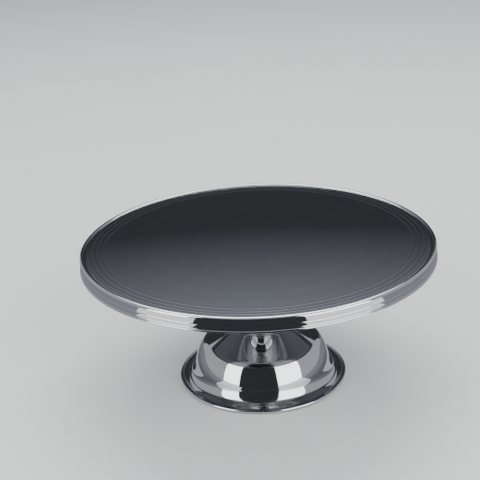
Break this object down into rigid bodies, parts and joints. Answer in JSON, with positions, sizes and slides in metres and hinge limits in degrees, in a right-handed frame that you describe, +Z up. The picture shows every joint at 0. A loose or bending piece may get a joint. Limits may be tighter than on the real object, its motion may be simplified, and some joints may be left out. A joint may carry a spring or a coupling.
{
  "type": "footed cake stand",
  "caption": "Polished steel footed cake stand: a wide flat plate with a turned-down skirt that turns on a ball bearing, on a low weighted bell-shaped pedestal foot.",
  "frame": {"origin": "on the floor, on the stand's axis", "axes": "+Z up along the axis that the plate turns on; X and Y are any two horizontal directions, because the stand is round"},
  "size_m": [0.3, 0.3, 0.1264],
  "materials": {
    "polished_steel": "mirror-polished stainless steel",
    "satin_steel": "satin stainless steel, brushed round the axis",
    "mill_steel": "plain rolled stainless steel",
    "zinc_steel": "bright zinc-plated steel",
    "bearing_steel": "hardened ground steel",
    "cast_aluminium": "die-cast aluminium, machined faces",
    "bronze": "sintered bronze",
    "cast_iron": "black-painted cast iron",
    "black_rubber": "matt black rubber"
  },
  "bodies": {
    "base": {"base_bell": "polished_steel", "stiffener_disc": "mill_steel", "column_tube": "mill_steel", "bearing_housing": "satin_steel", "lower_race": "bearing_steel", "upper_bush": "bronze", "lower_bush": "bronze", "ballast": "cast_iron", "tie_washer": "zinc_steel", "tie_nut": "zinc_steel", "base_cover": "mill_steel", "cover_screws": "zinc_steel", "rubber_foot": "black_rubber"},
    "turntable": {"plate": "polished_steel", "plate_doubler": "mill_steel", "weld_studs": "zinc_steel", "stud_washers": "zinc_steel", "stud_nuts": "zinc_steel", "hub": "cast_aluminium", "collar": "polished_steel", "spindle": "mill_steel", "upper_race": "bearing_steel", "thrust_washer": "bronze", "circlip": "bearing_steel"},
    "bearing_cage": {"ball_cage": "bronze", "balls": "bearing_steel"}
  },
  "joints": [
    {"name": "plate_turn", "type": "hinge", "parent": "base", "child": "turntable", "pos_m": [0, 0, 0.102], "axis": [0, 0, 1], "continuous": true},
    {"name": "cage_turn", "type": "hinge", "parent": "base", "child": "bearing_cage", "pos_m": [0, 0, 0.102], "axis": [0, 0, 1], "continuous": true}
  ],
  "couplings": [
    {"joint": "cage_turn", "follows": "plate_turn", "ratio": 0.5}
  ]
}
